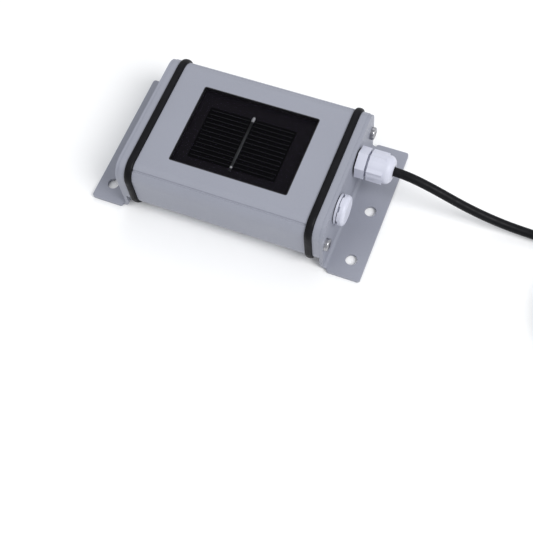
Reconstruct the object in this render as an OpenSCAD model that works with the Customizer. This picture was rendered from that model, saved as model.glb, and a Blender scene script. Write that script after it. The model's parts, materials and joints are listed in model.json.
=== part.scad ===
// Solar irradiance sensor: a silicon reference cell behind a glass window in
// an extruded aluminium case, with gasketed end caps, folded mounting feet,
// a cable gland and a pressure vent. Origin: middle of the footprint, +X
// towards the gland, +Z up. The feet stand on z = 0.

/* [Case] */
// Length between the outer edges of the two feet
overall_l = 160; // [150:1:180]
// Width of the feet
foot_w = 85; // [84:1:100]
// Width of the extruded case
case_w = 82; // [80:1:84]
// Height of the case's top face above the ground
case_top = 38.5; // [36:0.5:42]
// Height of the case's underside above the ground
case_bottom = 3; // [2:0.5:4]
// Length of the extruded case
case_l = 98.4; // [96:0.2:110]
// Radius of the case's upper edges
edge_top_r = 9; // [7:0.5:11]
// Radius of the case's lower edges
edge_bottom_r = 11; // [8:0.5:11]
// Thickness of each gasket
gasket_t = 4.2; // [2:0.2:5]
// How far the gaskets stand proud of the case
gasket_proud = 1.5; // [0.5:0.1:2]
// Thickness of an end cap outside the gasket
cap_t = 3.7; // [3:0.1:5]

/* [Window] */
// Length of the glass window
window_l = 67.4; // [60:0.2:72]
// Width of the glass window
window_w = 50; // [44:0.5:54]
// Offset of the window along the case
window_x = 0.4; // [-2:0.1:2]
// Offset of the window across the case
window_y = -0.4; // [-2:0.1:2]
// Length of the silicon cell
cell_l = 50; // [40:1:52]
// Width of the silicon cell
cell_w = 33; // [25:1:36]
// Number of contact fingers on the cell
finger_count = 12; // [6:1:16]

/* [Feet] */
// Thickness of the folded sheet
sheet_t = 2; // [1.5:0.1:2.5]
// Width of the upright part of a foot
upright_w = 81.6; // [78:0.2:82]
// Height of the upright part of a foot
upright_h = 38.2; // [36:0.1:38.4]
// Diameter of the mounting holes
hole_d = 6.5; // [5:0.5:7]
// Distance between the two rows of mounting holes
hole_row_gap = 143.5; // [138:0.5:144]
// Distance between neighbouring holes in a row
hole_pitch = 31.5; // [28:0.5:33]

/* [Gland and vent] */
// Height of the gland and vent axes
port_z = 28.5; // [27:0.5:29]
// Place of the gland across the case
gland_y = 12.5; // [12:0.5:14]
// Place of the vent across the case
vent_y = -18.4; // [-20:0.2:-17.6]
// Diameter of the cable
cable_d = 5; // [4.6:0.1:5]
// Pitch of the gland nut's thread
nut_pitch = 1.5; // [1:0.25:1.5]

/* [Hidden] */
$fn = 64;
eps = 0.01;

half_l = overall_l / 2;
half_w = case_w / 2;
case_end = case_l / 2;
cap_in = case_end + gasket_t;
cap_out = cap_in + cap_t;
foot_out = cap_out + sheet_t;

wall = 2.5;
top_wall = 4.4;
slot_z = 11.4;
board_t = 1.6;
screw_y = 36.5;
screw_z = 21;
screw_r = 2;
boss_r = 4;

fold_in = 2;
fold_out = fold_in + sheet_t;
foot_corner = 1.5;

glass_t = 2;
film_t = 0.8;
sheet_back_t = 0.4;
laminate_t = glass_t + film_t + sheet_back_t;
laminate_z = case_top - laminate_t;
seal_w = 0.5;
window_r = 1.2;
cell_x = window_x - 1;
cell_y = window_y - 1.65;
cell_z = laminate_z + sheet_back_t;
cell_t = 0.3;
grid_t = 0.12;

cable_r = cable_d / 2;
washer_t = 0.9;
gland_in = cap_in + 0.3;
gland_hex_t = 5.2;
neck_x = foot_out + washer_t + gland_hex_t;
neck_l = 9.8;
nut_x = neck_x + 1.3;
nut_l = 13.2;
nut_end = nut_x + nut_l;
neck_r = 5.4;
neck_bore = 3.9;
gland_af = 15;
thread_gap = 0.08;
nut_wall = 1.8;
ring_t = 1;
ring_gap = 0.05;
ring_x = nut_end - nut_wall - ring_gap - ring_t;

board_l = 84;
board_w = 75;
board_top = slot_z + board_t;

// Free cable, from the gland to the coil.
cable_route = [
    [74, 12.5, 28.5], [80, 12.5, 28.5], [86, 12.4, 28], [92, 12.2, 26.9],
    [98, 12, 25.1], [104, 11.9, 22.8], [110, 11.9, 20.1], [116, 12, 17.2],
    [123, 12.3, 13.9], [130, 12.7, 10.9], [138, 13.2, 8], [146, 13.6, 5.9],
    [154, 13.9, 4.6], [162, 14, 4], [170, 14, 3.9], [180, 14, 3.9],
    [190, 14, 3.9], [200, 14, 3.9], [211, 14, 3.9], [222, 14, 3.9]
];
// Coil of the cable's spare length.
coil_x = 222;
coil_r_out = 38;
coil_r_in = 20.5;
coil_layers = 4;
coil_y = 14 - coil_r_out;
coil_lift = 1.4;
coil_h = coil_layers * cable_d;
tie_t = 1.3;
tie_w = 5;
tie_gap = 0.3;
// Cable from the coil's top turn to its stripped end.
tail_route = [
    [222, 14, 18.9], [227, 14, 18.7], [232, 14, 17.9], [237, 14, 16.2],
    [242, 14, 13.6], [247, 14, 10.4], [252, 14, 7.2], [257, 14, 4.7],
    [262, 14, 3.2], [267, 14, 2.6], [273, 14, 2.5]
];

// ---- Helpers ----

// Extrudes a (Y, Z) outline along X.
module along_x(x0, x1) {
    translate([x0, 0, 0])
        rotate([90, 0, 90])
            linear_extrude(height = x1 - x0) children();
}

// Cylinder about an axis parallel to X.
module rod_x(x0, x1, r, y = 0, z = 0) {
    translate([x0, y, z])
        rotate([0, 90, 0]) cylinder(h = x1 - x0, r = r);
}

// Hexagonal prism along X, flats left and right, across-flats size af.
module hex_x(x0, x1, af, y, z) {
    translate([x0, y, z])
        rotate([0, 90, 0]) cylinder(h = x1 - x0, d = af / cos(30), $fn = 6);
}

// Outline with one radius on the upper and one on the lower corners.
module rounded_outline(hw, z0, z1, rt, rb) {
    polygon([
        [hw, z0 + rb], [hw, z1 - rt], [hw - rt, z1], [rt - hw, z1],
        [-hw, z1 - rt], [-hw, z0 + rb], [rb - hw, z0], [hw - rb, z0]
    ]);
    for (s = [-1, 1]) {
        translate([s * (hw - rt), z1 - rt]) circle(r = rt);
        translate([s * (hw - rb), z0 + rb]) circle(r = rb);
    }
}

// Outline of the case, grown by the given amount.
module case_outline(grow = 0) {
    rounded_outline(
        half_w + grow, case_bottom - grow, case_top + grow,
        edge_top_r + grow, edge_bottom_r + grow
    );
}

// Flat plate with rounded corners, centred on (x, y), resting on z.
module slab(l, w, h, r, x = 0, y = 0, z = 0) {
    translate([x, y, z])
        linear_extrude(height = h) {
            square([l - 2 * r, w], center = true);
            square([l, w - 2 * r], center = true);
            for (sx = [-1, 1], sy = [-1, 1])
                translate([sx * (l / 2 - r), sy * (w / 2 - r)]) circle(r = r);
        }
}

// Block with a corner at the given place.
module block(size, at) {
    translate(at) cube(size);
}

function unit(v) = v / norm(v);

// Direction of a route at one of its points.
function heading(p, i) =
    unit(p[min(i + 1, len(p) - 1)] - p[max(i - 1, 0)]);

// One ring of points around a route's point.
function ring(p, i, r, sides, up) =
    let (t = heading(p, i), a = unit(cross(up, t)), b = cross(t, a))
    [for (k = [0 : sides - 1])
        p[i] + r * (cos(360 * k / sides) * a + sin(360 * k / sides) * b)];

// Round tube swept along a route, closed at both ends.
module tube(p, r, sides = 10, up = [0, 0, 1]) {
    rings = len(p);
    points = [for (i = [0 : rings - 1]) each ring(p, i, r, sides, up)];
    ends = [
        [for (k = [0 : sides - 1]) k],
        [for (k = [sides - 1 : -1 : 0]) (rings - 1) * sides + k]
    ];
    sides_faces = [
        for (i = [0 : rings - 2], k = [0 : sides - 1])
            let (n = (k + 1) % sides)
            [i * sides + k, (i + 1) * sides + k,
             (i + 1) * sides + n, i * sides + n]
    ];
    polyhedron(points = points, faces = concat(ends, sides_faces));
}

// Points on a cubic Bezier curve.
function bezier(a, b, c, d, n = 8) = [
    for (i = [0 : n])
        let (t = i / n, u = 1 - t)
        u * u * u * a + 3 * u * u * t * b + 3 * u * t * t * c + t * t * t * d
];

// ---- Case ----

// Hollow of the case, with the two screw channels left standing.
module case_hollow() {
    difference() {
        rounded_outline(
            half_w - wall, case_bottom + wall, case_top - top_wall,
            edge_top_r - wall, edge_bottom_r - wall
        );
        for (s = [-1, 1]) {
            translate([s * screw_y, screw_z]) circle(r = boss_r);
            for (z = [slot_z - 1.3, board_top + 0.1])
                translate([s * (half_w - wall) - 2.5, z]) square([5, 1.2]);
        }
    }
}

// Shallow lines along both shoulders.
module shoulder_lines() {
    for (s = [-1, 1])
        translate([s * (half_w - 3.7), case_top - 1.55]) circle(r = 0.7);
}

module case() {
    color([0.60, 0.61, 0.66])
    difference() {
        along_x(-case_end, case_end)
            difference() {
                case_outline();
                case_hollow();
                shoulder_lines();
                for (s = [-1, 1])
                    translate([s * screw_y, screw_z])
                        circle(r = screw_r + 0.05);
            }
        slab(window_l, window_w, laminate_t + eps, window_r,
             window_x, window_y, laminate_z);
        slab(window_l - 8, window_w - 8, 2 * top_wall, 2,
             window_x, window_y, case_top - top_wall - 1);
    }
}

// ---- Window and cell ----

module window_seal() {
    color([0.05, 0.05, 0.06])
    difference() {
        slab(window_l, window_w, laminate_t, window_r,
             window_x, window_y, laminate_z);
        slab(window_l - 2 * seal_w, window_w - 2 * seal_w, laminate_t + 2,
             window_r - seal_w,
             window_x, window_y, laminate_z - 1);
    }
}

// One layer of the laminate.
module layer(z0, z1) {
    slab(window_l - 2 * seal_w, window_w - 2 * seal_w, z1 - z0,
         window_r - seal_w,
         window_x, window_y, z0);
}

module cover_glass() {
    color([0.12, 0.12, 0.15])
        layer(case_top - glass_t, case_top - 0.1);
}

module cell_box(grow = 0) {
    block(
        [cell_l + 2 * grow, cell_w + 2 * grow, cell_t + grow],
        [cell_x - cell_l / 2 - grow, cell_y - cell_w / 2 - grow, cell_z]
    );
}

module encapsulant() {
    color([0.2, 0.2, 0.22])
    difference() {
        layer(cell_z, case_top - glass_t);
        translate([0, 0, -1]) cell_box();
        cell_box();
        cell_fingers();
        busbar();
    }
}

module solar_cell() {
    color([0.04, 0.04, 0.06]) cell_box();
}

finger_pitch = 2.7;
finger_w = 0.2;
busbar_w = 1.5;
busbar_l = 36.5;
busbar_y = cell_y + 0.1;

module cell_fingers() {
    color([0.35, 0.35, 0.38])
    for (i = [0 : finger_count - 1], s = [-1, 1])
        block(
            [cell_l / 2 - 1 - busbar_w / 2, finger_w, grid_t],
            [s > 0 ? cell_x + busbar_w / 2 : cell_x - cell_l / 2 + 1,
             cell_y + (i - (finger_count - 1) / 2) * finger_pitch
                 - finger_w / 2,
             cell_z + cell_t]
        );
}

// Tinned ribbon over the cell, with a solder pad at each end.
module busbar() {
    color([0.55, 0.55, 0.58]) {
        block([busbar_w, busbar_l, 0.3],
              [cell_x - busbar_w / 2, busbar_y - busbar_l / 2,
               cell_z + cell_t]);
        block([2, 4.2, 0.35],
              [cell_x - 1, busbar_y + busbar_l / 2 - 4.3, cell_z + cell_t]);
        translate([cell_x, busbar_y - busbar_l / 2 + 2.6, cell_z + cell_t])
            cylinder(h = 0.35, r = 1);
    }
}

module backsheet() {
    color([0.09, 0.09, 0.1]) layer(laminate_z, laminate_z + sheet_back_t);
}

module temp_sensor() {
    color([0.15, 0.15, 0.15])
        slab(6, 4.5, 2, 1, cell_x + 10, cell_y, laminate_z - 2);
}

// ---- Gaskets and end caps ----

// Everything at the +X end is drawn there and mirrored for the other end.
module at_end(side) {
    if (side > 0) children();
    else mirror([1, 0, 0]) children();
}

// Opening through a gasket, which the end cap's raised pad fills.
module gasket_opening(gap = 0) {
    difference() {
        rounded_outline(
            half_w - 4.5 - gap, case_bottom + 4.5 + gap,
            case_top - 4.5 - gap, edge_top_r - 4.5, edge_bottom_r - 4.5
        );
        for (s = [-1, 1])
            translate([s * screw_y, screw_z]) circle(r = boss_r + 1.5 + gap);
    }
}

module gasket(side) {
    color([0.07, 0.07, 0.08])
    at_end(side)
        along_x(case_end, cap_in)
            difference() {
                case_outline(gasket_proud);
                gasket_opening();
                for (s = [-1, 1])
                    translate([s * screw_y, screw_z])
                        circle(r = screw_r + 0.2);
            }
}

module gasket_left() { gasket(-1); }
module gasket_right() { gasket(1); }

module cap(side) {
    color([0.60, 0.61, 0.66])
    at_end(side)
    difference() {
        union() {
            along_x(cap_in, cap_out) case_outline();
            along_x(case_end + 0.2, cap_in + eps) gasket_opening(0.2);
        }
        for (s = [-1, 1])
            rod_x(case_end, foot_out, screw_r + 0.2, s * screw_y, screw_z);
        if (side > 0) {
            rod_x(case_end, foot_out, 6, gland_y, port_z);
            rod_x(case_end, foot_out, 6, vent_y, port_z);
        }
    }
}

module cap_left() { cap(-1); }
module cap_right() { cap(1); }

// ---- Feet ----

// Face of the upright part, with rounded upper corners.
module upright_outline() {
    r = edge_top_r;
    hw = upright_w / 2;
    translate([-hw, fold_out]) square([2 * hw, upright_h - fold_out - r]);
    translate([r - hw, fold_out]) square([2 * (hw - r), upright_h - fold_out]);
    for (s = [-1, 1])
        translate([s * (hw - r), upright_h - r]) circle(r = r);
}

// The fold between the upright and the ground part.
module fold() {
    x = cap_out + fold_out;
    translate([x, upright_w / 2, fold_out])
        rotate([90, 0, 0])
            linear_extrude(height = upright_w)
                intersection() {
                    difference() {
                        circle(r = fold_out);
                        circle(r = fold_in);
                    }
                    translate([-fold_out, -fold_out])
                        square(fold_out);
                }
}

// Flat ground part with rounded corners and a row of three holes.
module ground_part() {
    x0 = cap_out + fold_out;
    l = half_l - x0;
    difference() {
        union() {
            slab(l, foot_w, sheet_t, foot_corner, x0 + l / 2, 0, 0);
            block([2, upright_w, sheet_t], [x0, -upright_w / 2, 0]);
        }
        for (y = [-hole_pitch, 0, hole_pitch])
            translate([hole_row_gap / 2, y, -1])
                cylinder(h = sheet_t + 2, d = hole_d);
    }
}

module foot(side) {
    color([0.60, 0.61, 0.66])
    at_end(side) {
        difference() {
            along_x(cap_out, foot_out) upright_outline();
            for (s = [-1, 1])
                rod_x(cap_out - 1, foot_out + 1, screw_r + 0.2,
                      s * screw_y, screw_z);
            if (side > 0) {
                rod_x(cap_out - 1, foot_out + 1, 6.1, gland_y, port_z);
                rod_x(cap_out - 1, foot_out + 1, 6.1, vent_y, port_z);
            }
        }
        fold();
        ground_part();
    }
}

module foot_left() { foot(-1); }
module foot_right() { foot(1); }

// Pan-head screws that hold foot, cap and gasket to the case.
module screws(side) {
    color([0.62, 0.62, 0.64])
    at_end(side)
    for (s = [-1, 1])
        difference() {
            union() {
                rod_x(case_end - 14, foot_out + eps, screw_r,
                      s * screw_y, screw_z);
                translate([foot_out, s * screw_y, screw_z])
                    rotate([0, 90, 0]) rotate_extrude() pan_head();
            }
            translate([foot_out + 1.4, s * screw_y, screw_z])
                for (a = [0, 90])
                    rotate([a, 0, 0])
                        translate([0, -2.1, -0.35]) cube([2, 4.2, 0.7]);
        }
}

// Half section of a pan head with a rounded rim.
module pan_head() {
    square([3.6, 1.4]);
    square([2.6, 2.4]);
    translate([2.6, 1.4]) circle(r = 1);
}

module screws_left() { screws(-1); }
module screws_right() { screws(1); }

// ---- Cable gland ----

module gland_washer() {
    color([0.1, 0.1, 0.1])
    difference() {
        rod_x(foot_out, foot_out + washer_t, 7.2, gland_y, port_z);
        rod_x(foot_out - 1, foot_out + washer_t + 1, 6, gland_y, port_z);
    }
}

module gland_body() {
    color([0.86, 0.86, 0.90])
    difference() {
        union() {
            rod_x(gland_in, foot_out + washer_t + eps, 5.95, gland_y, port_z);
            hex_x(foot_out + washer_t, neck_x, gland_af, gland_y, port_z);
            rod_x(neck_x - eps, neck_x + neck_l, neck_r, gland_y, port_z);
        }
        rod_x(gland_in - 1, nut_end, cable_r + 0.4, gland_y, port_z);
        rod_x(neck_x + 0.6, nut_end, neck_bore, gland_y, port_z);
    }
}

module gland_seal() {
    color([0.12, 0.12, 0.12])
    difference() {
        union() {
            rod_x(neck_x + 0.7, ring_x - ring_gap, neck_bore - 0.05,
                  gland_y, port_z);
            rod_x(neck_x + neck_l + 0.1, ring_x - ring_gap, 4.8,
                  gland_y, port_z);
        }
        rod_x(neck_x, ring_x + 1, cable_r, gland_y, port_z);
    }
}

module gland_ring() {
    color([0.8, 0.8, 0.84])
    difference() {
        rod_x(ring_x, ring_x + ring_t, 5.2, gland_y, port_z);
        rod_x(ring_x - 1, ring_x + 2, cable_r + 0.6, gland_y, port_z);
    }
}

// Half section of the nut: a straight skirt and a domed end.
module nut_section() {
    dome = 3.6;
    r = gland_af / 2 + 0.3;
    square([r, nut_l - dome]);
    intersection() {
        translate([r - dome, nut_l - dome]) circle(r = dome);
        translate([0, nut_l - dome]) square([r + 1, dome]);
    }
    square([r - dome, nut_l]);
}

module gland_nut() {
    color([0.88, 0.88, 0.92])
    difference() {
        union() {
            translate([nut_x, gland_y, port_z])
                rotate([0, 90, 0]) rotate_extrude() nut_section();
            hex_x(nut_x, nut_x + 8.6, gland_af, gland_y, port_z);
        }
        rod_x(nut_x - 1, nut_end - nut_wall, neck_r + thread_gap,
              gland_y, port_z);
        rod_x(nut_x, nut_end + 1, cable_r + 0.6, gland_y, port_z);
    }
}

// ---- Pressure vent ----

vent_flange_t = 1.2;
vent_x = foot_out + 0.5;

module vent_washer() {
    color([0.1, 0.1, 0.1])
    difference() {
        rod_x(foot_out, vent_x, 7.4, vent_y, port_z);
        rod_x(foot_out - 1, vent_x + 1, 6, vent_y, port_z);
    }
}

module vent_body() {
    color([0.86, 0.86, 0.90])
    difference() {
        union() {
            rod_x(gland_in, vent_x + eps, 5.95, vent_y, port_z);
            rod_x(vent_x, vent_x + vent_flange_t, 8.2, vent_y, port_z);
            rod_x(vent_x, vent_x + vent_flange_t + 1.2, 6.6, vent_y, port_z);
        }
        rod_x(gland_in - 1, vent_x + 5, 3.2, vent_y, port_z);
    }
}

module vent_membrane() {
    color([0.95, 0.95, 0.95])
        rod_x(vent_x + vent_flange_t + 1.2, vent_x + vent_flange_t + 1.5, 5,
              vent_y, port_z);
}

// Domed cap that snaps over the membrane.
module vent_cap() {
    x = vent_x + vent_flange_t + 0.5;
    color([0.90, 0.90, 0.94])
    difference() {
        translate([x, vent_y, port_z])
            rotate([0, 90, 0])
                rotate_extrude() {
                    square([8.4, 1.8]);
                    square([6.4, 3.8]);
                    translate([6.4, 1.8]) circle(r = 2);
                }
        rod_x(x - 3, x, 10, vent_y, port_z);
        rod_x(x - 1, x + 1.4, 6.65, vent_y, port_z);
        for (a = [30 : 60 : 330])
            translate([x - 1, vent_y, port_z])
                rotate([a, 0, 0]) block([1.6, 3, 12], [0, -1.5, 0]);
    }
}

// ---- Electronics ----

module circuit_board() {
    color([0.10, 0.36, 0.20])
        block([board_l, board_w, board_t], [-44, -board_w / 2, slot_z]);
}

term_x = 24;
term_y = -4;
term_l = 12;
term_ways = 5;
term_pitch = 5;
term_w = term_ways * term_pitch;
term_h = 11;

module terminal_block() {
    color([0.12, 0.45, 0.30])
    difference() {
        block([term_l, term_w, term_h], [term_x, term_y, board_top]);
        for (i = [0 : term_ways - 1]) {
            y = term_y + (i + 0.5) * term_pitch;
            rod_x(term_x + 5, term_x + term_l + 1, 1.7, y, board_top + 3);
            translate([term_x + term_l / 2, y, board_top + 7])
                cylinder(h = term_h, r = 1.9);
        }
    }
}

module terminal_screws() {
    color([0.7, 0.7, 0.7])
    for (i = [0 : term_ways - 1])
        translate([term_x + term_l / 2, term_y + (i + 0.5) * term_pitch,
                   board_top + 7])
            difference() {
                cylinder(h = 2.4, r = 1.7);
                translate([-0.3, -2, 1.4]) cube([0.6, 4, 2]);
            }
}

module amplifier() {
    color([0.08, 0.08, 0.08])
    block([10, 7.5, 2.4], [0, -12, board_top + 0.3]);
    color([0.7, 0.7, 0.7])
    for (i = [0 : 6], s = [0, 1])
        block([0.5, 1.8, 0.5],
              [0.9 + i * 1.27, s > 0 ? -4.6 : -13.7, board_top]);
}

module shunt() {
    color([0.75, 0.70, 0.55])
        rod_x(-20, -8, 2.4, -20, board_top + 2.4);
    color([0.7, 0.7, 0.7]) {
        for (x = [-24, -4.6])
            block([0.6, 0.6, 2.7], [x, -20.3, board_top]);
        rod_x(-24, -20, 0.3, -20, board_top + 2.4);
        rod_x(-8, -4, 0.3, -20, board_top + 2.4);
    }
}

module capacitor() {
    color([0.1, 0.1, 0.35])
        translate([-28, 18, board_top]) cylinder(h = 12, r = 5);
}

// Two wires from the back of the cell to the board.
module cell_leads() {
    color([0.55, 0.1, 0.1])
    for (s = [0, 1])
        tube(
            bezier([cell_x - 1 - 6 * s, cell_y - 12, laminate_z],
                   [cell_x - 1 - 6 * s, cell_y - 12, 27],
                   [-12 - 8 * s, -2, 22], [-12 - 8 * s, -2, board_top]),
            0.7, 8, [0, 1, 0]
        );
}

// Two thin wires from the temperature sensor to the board.
module sensor_leads() {
    color([0.2, 0.2, 0.5])
    for (s = [0, 1])
        tube(
            bezier([cell_x + 9 + 2.4 * s, cell_y + 0.4, laminate_z - 2],
                   [cell_x + 9 + 2.4 * s, cell_y + 0.4, 27],
                   [9 + 2.4 * s, 12, 22], [9 + 2.4 * s, 12, board_top]),
            0.45, 8, [0, 1, 0]
        );
}

// ---- Cable ----

strip_x = case_end + 2;

module sheath_inner() {
    color([0.07, 0.07, 0.08])
        rod_x(strip_x, cable_route[0][0], cable_r, gland_y, port_z);
}

core_r = 0.6;

// Four cores fan out from the sheath to the terminal block.
module cores_inner() {
    color([0.6, 0.5, 0.3])
    for (i = [0 : 3]) {
        a = 45 + 90 * i;
        y = term_y + (4.5 - [0, 3, 2, 1][i]) * term_pitch;
        tube(
            bezier([strip_x, gland_y + 1.1 * cos(a), port_z + 1.1 * sin(a)],
                   [strip_x - 7, gland_y + 1.1 * cos(a),
                    port_z + 1.1 * sin(a)],
                   [term_x + term_l + 7, y, board_top + 3],
                   [term_x + term_l - 4, y, board_top + 3]),
            core_r, 8
        );
    }
}

module cable() {
    color([0.07, 0.07, 0.08]) tube(cable_route, cable_r, 10);
}

// Outer shape of the coiled cable.
module cable_coil() {
    w = coil_r_out - coil_r_in + cable_d;
    color([0.08, 0.08, 0.09])
        translate([coil_x, coil_y, coil_lift])
            rotate_extrude()
                translate([coil_r_in - cable_r, 0]) coil_section(w, coil_h);
}

module coil_section(w, h) {
    r = cable_r;
    translate([r, 0]) square([w - 2 * r, h]);
    translate([0, r]) square([w, h - 2 * r]);
    for (x = [r, w - r], z = [r, h - r])
        translate([x, z]) circle(r = r);
}

// Strap around the coil.
module cable_tie() {
    w = coil_r_out - coil_r_in + cable_d + 2 * tie_gap;
    h = coil_h + 2 * tie_gap;
    color([0.16, 0.16, 0.17])
        translate([coil_x - tie_w / 2,
                   coil_y - coil_r_out - cable_r - tie_gap - tie_t, 0])
            difference() {
                cube([tie_w, w + 2 * tie_t, h + 2 * tie_t]);
                translate([-1, tie_t, tie_t]) cube([tie_w + 2, w, h]);
            }
}

module cable_tail() {
    color([0.07, 0.07, 0.08]) tube(tail_route, cable_r, 10);
}

tail_end = tail_route[len(tail_route) - 1];

// Start and tip of one core at the stripped end.
function core_start(i) =
    tail_end + [0, 1.15 * cos(45 + 90 * i), 1.15 * sin(45 + 90 * i)];
function core_tip(i) =
    tail_end + [17, [3.6, -1.4, -3.8, 1.3][i], -1.6];

module tail_cores() {
    color([0.6, 0.5, 0.3])
    for (i = [0 : 3])
        tube(
            bezier(core_start(i), core_start(i) + [6, 0, 0],
                   core_tip(i) - [6, 0, 0], core_tip(i)),
            core_r, 8
        );
}

module tail_ferrules() {
    color([0.75, 0.75, 0.75])
    for (i = [0 : 3])
        translate(core_tip(i)) {
            rod_x(0, 3, 0.8);
            rod_x(3 - eps, 8, 0.5);
        }
}

// ---- Assembly ----

case();
window_seal();
cover_glass();
encapsulant();
solar_cell();
cell_fingers();
busbar();
backsheet();
temp_sensor();
gasket_left();
gasket_right();
cap_left();
cap_right();
foot_left();
foot_right();
screws_left();
screws_right();
gland_body();
gland_washer();
gland_seal();
gland_ring();
gland_nut();
vent_body();
vent_cap();
vent_membrane();
vent_washer();
circuit_board();
terminal_block();
terminal_screws();
amplifier();
shunt();
capacitor();
cell_leads();
sensor_leads();
sheath_inner();
cores_inner();
cable();
cable_coil();
cable_tie();
cable_tail();
tail_cores();
tail_ferrules();
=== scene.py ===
import json
import math

import bmesh
import bpy
from mathutils import Matrix, Vector


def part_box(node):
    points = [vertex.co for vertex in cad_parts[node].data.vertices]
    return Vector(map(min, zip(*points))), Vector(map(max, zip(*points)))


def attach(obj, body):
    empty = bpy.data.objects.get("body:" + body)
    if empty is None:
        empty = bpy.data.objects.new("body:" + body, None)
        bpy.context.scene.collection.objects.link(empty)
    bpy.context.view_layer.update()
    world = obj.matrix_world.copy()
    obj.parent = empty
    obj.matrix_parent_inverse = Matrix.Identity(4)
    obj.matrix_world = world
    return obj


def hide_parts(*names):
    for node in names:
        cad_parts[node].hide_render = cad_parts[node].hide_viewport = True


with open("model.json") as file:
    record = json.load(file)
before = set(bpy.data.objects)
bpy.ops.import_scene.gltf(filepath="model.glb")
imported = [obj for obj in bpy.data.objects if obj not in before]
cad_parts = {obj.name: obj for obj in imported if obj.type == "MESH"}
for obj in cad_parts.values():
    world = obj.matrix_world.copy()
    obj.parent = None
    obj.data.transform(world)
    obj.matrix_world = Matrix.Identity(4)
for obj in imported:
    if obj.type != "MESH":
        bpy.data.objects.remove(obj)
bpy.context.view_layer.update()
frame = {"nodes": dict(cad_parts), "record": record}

# Solar irradiance sensor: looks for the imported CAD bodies. Sizes are in
# metres; the cord's route and coil are given in millimetres, as in the CAD.

MM = 0.001
NODES = frame["nodes"]
RECORD = frame["record"]
SLOT_OF = {s["node"]: s["material_slot"] for s in RECORD["subparts"]}

# ---------------------------------------------------------------- camera

AZIMUTH = math.radians(30.022)
ELEVATION = math.radians(63.687)
ROLL = math.radians(-9.215)
DISTANCE = 537.963 * MM
SIDE_STEP = 9.13 * MM
RISE = -51.328 * MM
LENS = 63.89
SENSOR_WIDTH = 36.0


def add_camera():
    """Camera at the angle and distance the object is seen from."""
    back = Vector((
        math.sin(AZIMUTH) * math.cos(ELEVATION),
        -math.cos(AZIMUTH) * math.cos(ELEVATION),
        math.sin(ELEVATION),
    ))
    level = Vector((math.cos(AZIMUTH), math.sin(AZIMUTH), 0.0))
    upward = back.cross(level)
    right = level * math.cos(ROLL) + upward * math.sin(ROLL)
    up = upward * math.cos(ROLL) - level * math.sin(ROLL)
    data = bpy.data.cameras.new("camera")
    data.lens = LENS
    data.sensor_width = SENSOR_WIDTH
    data.clip_start = 0.01
    camera = bpy.data.objects.new("camera", data)
    bpy.context.scene.collection.objects.link(camera)
    place = back * DISTANCE + right * SIDE_STEP + up * RISE
    camera.matrix_world = Matrix((
        (right.x, up.x, back.x, place.x),
        (right.y, up.y, back.y, place.y),
        (right.z, up.z, back.z, place.z),
        (0.0, 0.0, 0.0, 1.0),
    ))
    bpy.context.scene.camera = camera


add_camera()

# ------------------------------------------------------------------ cord

CABLE_D = 5.0 * MM
ROUTE_MM = [
    (74, 12.5, 28.5), (80, 12.5, 28.5), (86, 12.4, 28), (92, 12.2, 26.9),
    (98, 12, 25.1), (104, 11.9, 22.8), (110, 11.9, 20.1), (116, 12, 17.2),
    (123, 12.3, 13.9), (130, 12.7, 10.9), (138, 13.2, 8), (146, 13.6, 5.9),
    (154, 13.9, 4.6), (162, 14, 4), (170, 14, 3.9), (180, 14, 3.9),
    (190, 14, 3.9), (200, 14, 3.9), (211, 14, 3.9), (222, 14, 3.9),
]
TAIL_MM = [
    (222, 14, 18.9), (227, 14, 18.7), (232, 14, 17.9), (237, 14, 16.2),
    (242, 14, 13.6), (247, 14, 10.4), (252, 14, 7.2), (257, 14, 4.7),
    (262, 14, 3.2), (267, 14, 2.6), (273, 14, 2.5),
]
COIL_OUT = 38.0
COIL_IN = 20.5
COIL_CENTRE = (222.0, 14.0 - COIL_OUT)
COIL_LAYERS = 4
COIL_PITCH = 5.0
COIL_STEPS = 32
CLIMB_TURNS = 1.0 / 3.0


def coil_points():
    """Spare cable, wound layer by layer: inwards, up, outwards, up, ..."""
    points = []
    turned = 0.0
    turns_per_layer = (COIL_OUT - COIL_IN) / COIL_PITCH
    for layer in range(COIL_LAYERS):
        inwards = layer % 2 == 0
        start = COIL_OUT if inwards else COIL_IN
        end = COIL_IN if inwards else COIL_OUT
        stretches = [(turns_per_layer, start, end, 0.0)]
        if layer < COIL_LAYERS - 1:
            stretches.append((CLIMB_TURNS, end, end, COIL_PITCH))
        for turns, r0, r1, climb in stretches:
            count = round(turns * COIL_STEPS)
            z = ROUTE_MM[-1][2] + layer * COIL_PITCH
            for i in range(1, count + 1):
                t = i / count
                a = math.radians(90) - math.tau * (turned + turns * t)
                r = r0 + (r1 - r0) * t
                ease = t * t * (3.0 - 2.0 * t)
                points.append((
                    COIL_CENTRE[0] + r * math.cos(a),
                    COIL_CENTRE[1] + r * math.sin(a),
                    z + climb * ease,
                ))
            turned += turns
    return points


def smooth_path(points, per_span=4):
    """Catmull-Rom curve through the given points."""
    out = []
    last = len(points) - 1
    for i in range(last):
        p0, p1 = points[max(i - 1, 0)], points[i]
        p2, p3 = points[i + 1], points[min(i + 2, last)]
        for k in range(per_span):
            t = k / per_span
            out.append(tuple(
                0.5 * (2 * b + (c - a) * t
                       + (2 * a - 5 * b + 4 * c - d) * t * t
                       + (3 * b - a - 3 * c + d) * t ** 3)
                for a, b, c, d in zip(p0, p1, p2, p3)
            ))
    out.append(points[-1])
    return out


def link(obj):
    bpy.context.scene.collection.objects.link(obj)
    return obj


def mesh_object(name, vertices, faces, smooth=True):
    data = bpy.data.meshes.new(name)
    data.from_pydata(vertices, [], faces)
    data.polygons.foreach_set("use_smooth", [smooth] * len(data.polygons))
    data.update()
    return link(bpy.data.objects.new(name, data))


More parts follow.
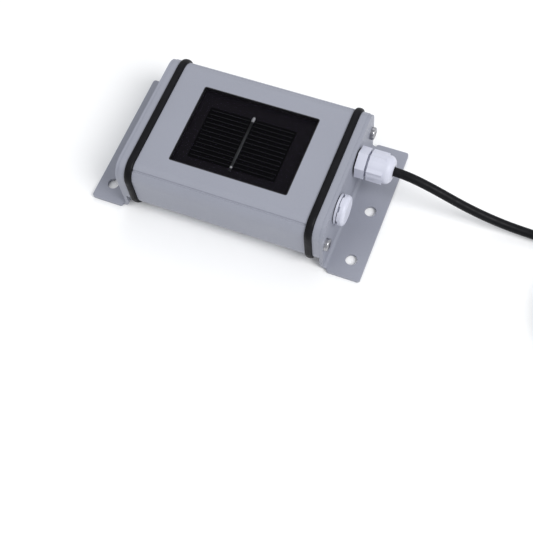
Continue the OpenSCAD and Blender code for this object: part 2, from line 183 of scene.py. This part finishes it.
def tube(name, points, radius, sides=16):
    """Round tube along a path, with rings turned as little as possible."""
    path = [Vector(p) for p in points]
    last = len(path) - 1
    across = Vector((0.0, 1.0, 0.0))
    vertices = []
    for i, p in enumerate(path):
        ahead = (path[min(i + 1, last)] - path[max(i - 1, 0)]).normalized()
        across = (across - ahead * across.dot(ahead)).normalized()
        upward = ahead.cross(across)
        for k in range(sides):
            a = math.tau * k / sides
            vertices.append(p + radius * (math.cos(a) * across
                                          + math.sin(a) * upward))
    faces = [tuple(range(sides - 1, -1, -1))]
    for i in range(last):
        for k in range(sides):
            n = (k + 1) % sides
            faces.append((i * sides + k, i * sides + n,
                          (i + 1) * sides + n, (i + 1) * sides + k))
    faces.append(tuple(last * sides + k for k in range(sides)))
    return mesh_object(name, vertices, faces)


def metres(points):
    return [tuple(c * MM for c in p) for p in points]


cable_path = metres(
    smooth_path(ROUTE_MM) + coil_points()[:-1] + smooth_path(TAIL_MM))
cable = tube("signal_cable", cable_path, CABLE_D / 2)
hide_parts("cable", "cable_coil", "cable_tail")
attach(cable, "sensor")

# ------------------------------------------------------- floor and lights

FLOOR_HALF = 4.0
FLOOR_DROP = 0.4 * MM
SKY_COLOUR = (0.95, 0.97, 1.0, 1.0)
SKY_STRENGTH = 0.62


def add_floor():
    """Plain floor, a hair below the feet."""
    half = FLOOR_HALF
    floor = mesh_object(
        "floor",
        [(-half, -half, 0), (half, -half, 0), (half, half, 0), (-half, half, 0)],
        [(0, 1, 2, 3)], smooth=False,
    )
    floor.location.z = -FLOOR_DROP
    return floor


def add_light(name, place, size, watts):
    """Round soft light that points at the object."""
    data = bpy.data.lights.new(name, "AREA")
    data.shape = "DISK"
    data.size = size
    data.energy = watts
    light = link(bpy.data.objects.new(name, data))
    light.location = place
    towards = -Vector(place)
    light.rotation_euler = towards.to_track_quat("-Z", "Y").to_euler()


floor = add_floor()
add_light("key", (1.15, -0.35, 1.3), 0.9, 20.0)
add_light("fill", (-0.7, -0.5, 1.8), 1.6, 5.0)
add_light("back", (-0.2, 1.5, 1.5), 1.4, 6.0)

world = bpy.data.worlds.new("studio")
world.use_nodes = True
background = world.node_tree.nodes["Background"]
background.inputs["Color"].default_value = SKY_COLOUR
background.inputs["Strength"].default_value = SKY_STRENGTH
bpy.context.scene.world = world
bpy.context.scene.view_settings.view_transform = "Standard"

# ------------------------------------------------------------- materials


class Shader:
    """Builds one procedural material on a Principled shader."""

    def __init__(self, name):
        self.material = bpy.data.materials.new(name)
        self.material.use_nodes = True
        self.tree = self.material.node_tree
        self.tree.nodes.clear()
        self.output = self.node("ShaderNodeOutputMaterial")
        self.bsdf = self.node("ShaderNodeBsdfPrincipled")
        self.link(self.bsdf.outputs[0], self.output.inputs["Surface"])
        self.coords = self.node("ShaderNodeTexCoord").outputs["Object"]
        self.normal = None

    def node(self, kind, **settings):
        """New shader node with the given settings."""
        n = self.tree.nodes.new(kind)
        for key, value in settings.items():
            setattr(n, key, value)
        return n

    def link(self, a, b):
        self.tree.links.new(a, b)

    def set(self, **values):
        """Constant values on the Principled shader's own sockets."""
        for key, value in values.items():
            self.bsdf.inputs[key.replace("_", " ")].default_value = value

    def stretch(self, scale):
        """Object coordinates scaled apart on each axis."""
        n = self.node("ShaderNodeMapping")
        n.inputs["Scale"].default_value = scale
        self.link(self.coords, n.inputs["Vector"])
        return n.outputs["Vector"]

    def noise(self, scale, detail=2.0, rough=0.5, vector=None):
        n = self.node("ShaderNodeTexNoise")
        n.inputs["Scale"].default_value = scale
        n.inputs["Detail"].default_value = detail
        n.inputs["Roughness"].default_value = rough
        self.link(vector or self.coords, n.inputs["Vector"])
        return n.outputs["Fac"]

    def cells(self, scale):
        """Distance to the middle of each Voronoi cell."""
        n = self.node("ShaderNodeTexVoronoi")
        n.inputs["Scale"].default_value = scale
        self.link(self.coords, n.inputs["Vector"])
        return n.outputs["Distance"]

    def remap(self, value, a, b, c, d):
        """Maps a..b on to c..d and clamps it."""
        n = self.node("ShaderNodeMapRange")
        n.clamp = True
        n.inputs["From Min"].default_value = a
        n.inputs["From Max"].default_value = b
        n.inputs["To Min"].default_value = c
        n.inputs["To Max"].default_value = d
        self.link(value, n.inputs["Value"])
        return n.outputs["Result"]

    def math(self, operation, a, b):
        n = self.node("ShaderNodeMath", operation=operation)
        for i, v in enumerate((a, b)):
            if isinstance(v, (int, float)):
                n.inputs[i].default_value = v
            else:
                self.link(v, n.inputs[i])
        return n.outputs[0]

    def mix(self, factor, a, b):
        n = self.node("ShaderNodeMix", data_type="RGBA")
        self.link(factor, n.inputs["Factor"])
        for socket, v in ((n.inputs[6], a), (n.inputs[7], b)):
            if isinstance(v, tuple):
                socket.default_value = (*v, 1.0)
            else:
                self.link(v, socket)
        return n.outputs[2]

    def edges(self, radius):
        """1 along outer and inner edges, 0 on flat faces."""
        bevel = self.node("ShaderNodeBevel", samples=4)
        bevel.inputs["Radius"].default_value = radius
        geometry = self.node("ShaderNodeNewGeometry")
        dot = self.node("ShaderNodeVectorMath", operation="DOT_PRODUCT")
        self.link(bevel.outputs[0], dot.inputs[0])
        self.link(geometry.outputs["Normal"], dot.inputs[1])
        return self.remap(dot.outputs["Value"], 0.98, 0.8, 0.0, 1.0)

    def colour(self, value):
        self.link(value, self.bsdf.inputs["Base Color"])

    def roughness(self, value):
        self.link(value, self.bsdf.inputs["Roughness"])

    def bump(self, height, depth):
        """Adds a bump on top of those already there."""
        n = self.node("ShaderNodeBump")
        n.inputs["Distance"].default_value = depth
        self.link(height, n.inputs["Height"])
        if self.normal is not None:
            self.link(self.normal, n.inputs["Normal"])
        self.normal = n.outputs["Normal"]
        self.link(self.normal, self.bsdf.inputs["Normal"])


def shade(colour, factor):
    """The same colour, lighter or darker."""
    return tuple(min(1.0, c * factor) for c in colour)


def powder_coat(name, colour):
    """Satin powder coat: orange peel, faint mottling, worn edges."""
    s = Shader(name)
    drift = s.remap(s.noise(28.0, 3.0), 0.3, 0.7, 0.0, 1.0)
    grain = s.remap(s.noise(2600.0, 1.0), 0.35, 0.65, 0.0, 1.0)
    base = s.mix(drift, shade(colour, 0.965), shade(colour, 1.03))
    speck = s.mix(grain, shade(colour, 0.93), shade(colour, 1.06))
    blend = s.node("ShaderNodeMix", data_type="RGBA")
    blend.inputs["Factor"].default_value = 0.4
    s.link(base, blend.inputs[6])
    s.link(speck, blend.inputs[7])
    rubbed = s.math("MULTIPLY", s.edges(0.35 * MM), s.noise(420.0, 3.0))
    s.colour(s.mix(s.math("MULTIPLY", rubbed, 0.45),
                   blend.outputs[2], shade(colour, 1.45)))
    s.roughness(s.remap(s.noise(60.0, 4.0), 0.3, 0.7, 0.37, 0.48))
    s.set(Specular_IOR_Level=0.42)
    s.bump(s.noise(750.0, 1.5, 0.4), 0.030 * MM)
    s.bump(s.noise(3200.0, 1.0), 0.006 * MM)
    return s.material


def rubber(name, colour, rough=0.55, spec=0.4):
    """Moulded rubber: dull, dusty in places, with a fine skin."""
    s = Shader(name)
    dust = s.remap(s.noise(190.0, 5.0, 0.6), 0.45, 0.8, 0.0, 1.0)
    s.colour(s.mix(dust, shade(colour, 0.9), shade(colour, 1.7)))
    s.roughness(s.remap(s.noise(320.0, 3.0), 0.3, 0.7, rough - 0.1, rough + 0.1))
    s.set(Specular_IOR_Level=spec)
    s.bump(s.noise(1800.0, 2.0), 0.02 * MM)
    return s.material


def moulded(name, colour, rough=0.4, spec=0.45, skin=0.012):
    """Injection-moulded plastic: spark-eroded skin, faint flow marks."""
    s = Shader(name)
    flow = s.noise(1.0, 2.0, 0.5, s.stretch((90.0, 25.0, 25.0)))
    flow = s.remap(flow, 0.35, 0.65, 0.0, 1.0)
    body = s.mix(flow, shade(colour, 0.975), shade(colour, 1.02))
    handled = s.math("MULTIPLY", s.edges(0.3 * MM), s.noise(500.0, 3.0))
    s.colour(s.mix(handled, body, shade(colour, 1.08)))
    s.roughness(s.remap(s.noise(240.0, 3.0), 0.3, 0.7, rough - 0.05, rough + 0.08))
    s.set(Specular_IOR_Level=spec)
    s.bump(s.noise(2400.0, 2.0), skin * MM)
    return s.material


def metal(name, colour, rough=0.28, brushed=(40.0, 900.0, 900.0)):
    """Bare or plated metal with fine drawing or turning marks."""
    s = Shader(name)
    marks = s.noise(3.0, 2.0, 0.5, s.stretch(brushed))
    tarnish = s.remap(s.noise(260.0, 4.0), 0.35, 0.75, 0.0, 1.0)
    s.colour(s.mix(tarnish, colour, shade(colour, 0.82)))
    s.roughness(s.remap(marks, 0.3, 0.7, rough - 0.07, rough + 0.1))
    s.set(Metallic=1.0)
    s.bump(marks, 0.004 * MM)
    return s.material


def silicon_wafer(name):
    """Blue-black textured cell with faint crystal shading."""
    s = Shader(name)
    patch = s.remap(s.noise(70.0, 2.0), 0.35, 0.65, 0.0, 1.0)
    crystal = s.remap(s.cells(420.0), 0.0, 0.7, 0.0, 1.0)
    tone = s.mix(patch, (0.0005, 0.0007, 0.0008), (0.0009, 0.0011, 0.0013))
    s.colour(s.mix(s.math("MULTIPLY", crystal, 0.5), tone, (0.0014, 0.0016, 0.0019)))
    s.roughness(s.remap(crystal, 0.0, 1.0, 0.34, 0.42))
    s.set(Specular_IOR_Level=0.015)
    s.bump(s.noise(900.0, 1.0), 0.001 * MM)
    return s.material


def window_glass(name):
    """Anti-reflective cover glass: a faint even veil of painted glow that stands in
    for light reflected off the glass, some specks of dust.
    """
    s = Shader(name)
    specks = s.remap(s.noise(1500.0, 2.0, 0.7), 0.74, 0.8, 0.0, 1.0)
    s.colour(s.mix(specks, (0.004, 0.003, 0.006), (0.10, 0.10, 0.11)))
    s.roughness(s.remap(s.noise(45.0, 3.0), 0.3, 0.7, 0.05, 0.11))
    # The faint emission below is a painted glow standing in for light reflected off
    # the glass; the glass is no lamp.
    s.set(Alpha=0.15, Specular_IOR_Level=0.0, IOR=1.5,
          Emission_Color=(0.95, 0.9, 1.0, 1.0), Emission_Strength=0.010)
    s.bump(s.noise(55.0, 1.0), 0.004 * MM)
    return s.material


def clear_film(name):
    """Clear encapsulating film, slightly milky."""
    s = Shader(name)
    haze = s.remap(s.noise(150.0, 3.0), 0.3, 0.7, 0.0, 1.0)
    s.colour(s.mix(haze, (0.010, 0.008, 0.014), (0.022, 0.020, 0.026)))
    s.roughness(s.remap(s.noise(300.0, 2.0), 0.3, 0.7, 0.3, 0.45))
    s.set(Alpha=0.12, Specular_IOR_Level=0.2)
    s.bump(s.noise(600.0, 1.0), 0.002 * MM)
    return s.material


def sheath(name, colour):
    """Extruded cable sheath: satin, with faint lengthwise marks."""
    s = Shader(name)
    worn = s.remap(s.noise(230.0, 4.0, 0.6), 0.45, 0.8, 0.0, 1.0)
    s.colour(s.mix(worn, colour, shade(colour, 1.8)))
    s.roughness(s.remap(s.noise(500.0, 3.0), 0.3, 0.7, 0.36, 0.52))
    s.set(Specular_IOR_Level=0.10)
    s.bump(s.noise(1.0, 2.0, 0.5, s.stretch((120.0, 1400.0, 1400.0))), 0.012 * MM)
    return s.material


def floor_paint(name):
    """Matt, nearly white studio floor."""
    s = Shader(name)
    cloud = s.noise(2.0, 2.0)
    s.colour(s.mix(cloud, (0.90, 0.90, 0.90), (0.92, 0.92, 0.92)))
    s.set(Roughness=0.9, Specular_IOR_Level=0.1)
    return s.material


MATERIALS = {
    "coated_aluminium": powder_coat("coated_aluminium", (0.275, 0.285, 0.335)),
    "coated_sheet": powder_coat("coated_sheet", (0.265, 0.275, 0.325)),
    "sealant": rubber("sealant", (0.010, 0.010, 0.012), 0.45),
    "window_glass": window_glass("window_glass"),
    "clear_film": clear_film("clear_film"),
    "silicon": silicon_wafer("silicon"),
    "contact_metal": metal("contact_metal", (0.030, 0.031, 0.033), 0.4,
                           (900.0, 60.0, 900.0)),
    "tinned_ribbon": metal("tinned_ribbon", (0.048, 0.050, 0.052), 0.45,
                           (900.0, 60.0, 900.0)),
    "solder": metal("solder", (0.36, 0.36, 0.38), 0.3, (700.0, 700.0, 700.0)),
    "black_film": moulded("black_film", (0.0026, 0.0019, 0.0042), 0.5, 0.09,
                          skin=0.001),
    "chip_resin": moulded("chip_resin", (0.03, 0.03, 0.032), 0.45),
    "gasket_rubber": rubber("gasket_rubber", (0.0042, 0.0042, 0.0056), 0.5, 0.13),
    "screw_steel": metal("screw_steel", (0.42, 0.42, 0.44), 0.3),
    "white_plastic": moulded("white_plastic", (0.55, 0.56, 0.645), 0.38),
    "membrane": rubber("membrane", (0.75, 0.75, 0.75), 0.8),
    "board_laminate": moulded("board_laminate", (0.02, 0.13, 0.055), 0.3),
    "green_plastic": moulded("green_plastic", (0.05, 0.28, 0.15), 0.4),
    "resistor_body": moulded("resistor_body", (0.50, 0.42, 0.22), 0.4),
    "can_sleeve": moulded("can_sleeve", (0.02, 0.022, 0.10), 0.25),
    "lead_insulation": moulded("lead_insulation", (0.35, 0.02, 0.02), 0.35),
    "thin_insulation": moulded("thin_insulation", (0.03, 0.06, 0.30), 0.35),
    "cable_sheath": sheath("cable_sheath", (0.0055, 0.0056, 0.0066)),
    "core_insulation": moulded("core_insulation", (0.42, 0.20, 0.06), 0.35),
    "tie_plastic": moulded("tie_plastic", (0.02, 0.02, 0.021), 0.4),
    "ferrule_metal": metal("ferrule_metal", (0.62, 0.62, 0.63), 0.22),
}


def paint(obj, material):
    obj.data.materials.clear()
    obj.data.materials.append(material)


for name, obj in NODES.items():
    material = MATERIALS[SLOT_OF[name]]
    for i in range(len(obj.material_slots)):
        obj.material_slots[i].link = "OBJECT"
        obj.material_slots[i].material = material
paint(cable, MATERIALS["cable_sheath"])
paint(floor, floor_paint("floor_paint"))

# ---------------------------------------------------------- rounded edges

ROUNDED = {
    "cap_left": 0.5, "cap_right": 0.5, "foot_left": 0.5, "foot_right": 0.5,
    "gland_body": 0.5, "gland_nut": 0.6, "vent_body": 0.35, "vent_cap": 0.6,
    "screws_left": 0.25, "screws_right": 0.25,
}
FLAT_ANGLE = math.radians(0.5)
SHARP_ANGLE = math.radians(35)
ROUND_SEGMENTS = 3


def soften(obj, width):
    """Rounds the sharp edges of a CAD node without touching its mesh."""
    flat = obj.modifiers.new("merge_flats", "DECIMATE")
    flat.decimate_type = "DISSOLVE"
    flat.angle_limit = FLAT_ANGLE
    bevel = obj.modifiers.new("round_edges", "BEVEL")
    bevel.width = width
    bevel.segments = ROUND_SEGMENTS
    bevel.limit_method = "ANGLE"
    bevel.angle_limit = SHARP_ANGLE
    bevel.use_clamp_overlap = True
    bevel.harden_normals = True


for name, width in ROUNDED.items():
    soften(NODES[name], width * MM)

# ---------------------------------------------------------------- gaskets

EDGE_TOP_R = 9 * MM
EDGE_BOTTOM_R = 11 * MM
GASKET_INSET = 4.5 * MM
GASKET_LIP = 0.25 * MM
BEAD_FULLNESS = 0.75


def outline(half_w, z0, z1, top_r, bottom_r, steps=14):
    """Points and outward directions round the case's outline, in (y, z)."""
    corners = (
        (half_w - bottom_r, z0 + bottom_r, bottom_r, -90),
        (half_w - top_r, z1 - top_r, top_r, 0),
        (top_r - half_w, z1 - top_r, top_r, 90),
        (bottom_r - half_w, z0 + bottom_r, bottom_r, 180),
    )
    found = []
    for y, z, r, start in corners:
        for k in range(steps + 1):
            a = math.radians(start + 90.0 * k / steps)
            out = (math.cos(a), math.sin(a))
            found.append(((y + r * out[0], z + r * out[1]), out))
    return found


def gasket_profile(x0, x1, proud, steps=14):
    """Section of the rubber: flat between the parts, a bead outside."""
    middle, half = (x0 + x1) / 2, (x1 - x0) / 2
    section = [(x0, -GASKET_INSET), (x0, 0.0)]
    for k in range(steps + 1):
        a = math.pi * (1.0 - k / steps)
        bulge = max(math.sin(a), 0.0) ** BEAD_FULLNESS
        section.append((middle + half * math.cos(a),
                        GASKET_LIP + (proud - GASKET_LIP) * bulge))
    section += [(x1, 0.0), (x1, -GASKET_INSET)]
    return section


def add_gasket(node, name):
    """Rubber gasket between the case and a cap, with a round bead outside."""
    low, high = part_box(node)
    case_low, case_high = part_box("case")
    ring = outline(case_high[1], case_low[2], case_high[2],
                   EDGE_TOP_R, EDGE_BOTTOM_R)
    section = gasket_profile(low[0], high[0], high[1] - case_high[1])
    vertices = [
        (x, point[0] + out[0] * off, point[1] + out[1] * off)
        for point, out in ring for x, off in section
    ]
    n, m = len(section), len(ring)
    faces = [
        (i * n + k, i * n + (k + 1) % n,
         ((i + 1) % m) * n + (k + 1) % n, ((i + 1) % m) * n + k)
        for i in range(m) for k in range(n)
    ]
    piece = mesh_object(name, vertices, faces)
    fix_normals(piece)
    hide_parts(node)
    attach(piece, "sensor")
    paint(piece, MATERIALS["gasket_rubber"])


def fix_normals(obj):
    """Turns every face outwards."""
    work = bmesh.new()
    work.from_mesh(obj.data)
    bmesh.ops.recalc_face_normals(work, faces=work.faces)
    work.to_mesh(obj.data)
    work.free()


add_gasket("gasket_left", "gasket_bead_left")
add_gasket("gasket_right", "gasket_bead_right")

# ----------------------------------------------------------------- window

PANE_RIM = 0.25 * MM
PANE_CORNER = 0.7 * MM
PANE_LIFT = 0.02 * MM
PANE_RIM_STEPS = 3
RIBBON_W = 1.5 * MM
RIBBON_STEPS = 8
RIBBON_EDGE = 0.25
RIBBON_CROWN = 0.45
# Half width, half length and distance from the ribbon's end of each blob.
REAR_BLOB = (1.0 * MM, 2.1 * MM, 2.2 * MM)
FRONT_BLOB = (0.8 * MM, 0.9 * MM, 2.6 * MM)


def add_pane():
    """Glass and clear film as one solid pane with a ground upper rim."""
    low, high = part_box("cover_glass")
    floor_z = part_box("encapsulant")[0][2] + PANE_LIFT
    middle = (low[0] + high[0]) / 2
    ring = outline(high[0] - middle, low[1], high[1], PANE_CORNER, PANE_CORNER, 5)
    section = [(0.0, floor_z)]
    for k in range(PANE_RIM_STEPS + 1):
        a = math.radians(90.0 * k / PANE_RIM_STEPS)
        section.append((PANE_RIM * (math.cos(a) - 1.0),
                        high[2] + PANE_RIM * (math.sin(a) - 1.0)))
    vertices = [
        (middle + point[0] + out[0] * off, point[1] + out[1] * off, z)
        for off, z in section for point, out in ring
    ]
    m, last = len(ring), len(section) - 1
    faces = [tuple(range(m - 1, -1, -1)), tuple(last * m + i for i in range(m))]
    faces += [
        (k * m + i, k * m + (i + 1) % m,
         (k + 1) * m + (i + 1) % m, (k + 1) * m + i)
        for k in range(last) for i in range(m)
    ]
    pane = mesh_object("window_pane", vertices, faces, smooth=False)
    fix_normals(pane)
    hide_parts("cover_glass", "encapsulant")
    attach(pane, "sensor")
    paint(pane, MATERIALS["window_glass"])


def dome(vertices, faces, centre, radii, height, rings=6, sides=24):
    """Adds a solder blob with a flat underside."""
    first = len(vertices)
    x, y, z = centre
    for k in range(rings):
        a = math.radians(90.0 * k / rings)
        for i in range(sides):
            b = math.tau * i / sides
            vertices.append((x + radii[0] * math.cos(a) * math.cos(b),
                             y + radii[1] * math.cos(a) * math.sin(b),
                             z + height * math.sin(a)))
    vertices.append((x, y, z + height))
    faces.append(tuple(first + i for i in range(sides - 1, -1, -1)))
    for k in range(rings - 1):
        for i in range(sides):
            n = (i + 1) % sides
            faces.append((first + k * sides + i, first + k * sides + n,
                          first + (k + 1) * sides + n, first + (k + 1) * sides + i))
    top = first + (rings - 1) * sides
    for i in range(sides):
        faces.append((top + i, top + (i + 1) % sides, first + rings * sides))


def add_ribbon():
    """Crowned ribbon with a solder blob near each end."""
    low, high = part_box("busbar")
    x = (low[0] + high[0]) / 2
    z, height = low[2], high[2] - low[2]
    vertices = []
    for y in (low[1], high[1]):
        for k in range(RIBBON_STEPS + 1):
            u = 2.0 * k / RIBBON_STEPS - 1.0
            rise = RIBBON_EDGE + RIBBON_CROWN * (1.0 - u * u)
            vertices.append((x + u * RIBBON_W / 2, y, z + height * rise))
        vertices += [(x + RIBBON_W / 2, y, z), (x - RIBBON_W / 2, y, z)]
    n = RIBBON_STEPS + 3
    faces = [(k, (k + 1) % n, n + (k + 1) % n, n + k) for k in range(n)]
    faces += [tuple(range(n - 1, -1, -1)), tuple(n + k for k in range(n))]
    ribbon_faces = len(faces)
    dome(vertices, faces, (x, high[1] - REAR_BLOB[2], z), REAR_BLOB[:2], height)
    dome(vertices, faces, (x, low[1] + FRONT_BLOB[2], z), FRONT_BLOB[:2], height)
    ribbon = mesh_object("soldered_ribbon", vertices, faces)
    ribbon.data.materials.append(MATERIALS["tinned_ribbon"])
    ribbon.data.materials.append(MATERIALS["solder"])
    for i, face in enumerate(ribbon.data.polygons):
        face.material_index = 0 if i < ribbon_faces else 1
    fix_normals(ribbon)
    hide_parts("busbar")
    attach(ribbon, "sensor")


add_pane()
add_ribbon()
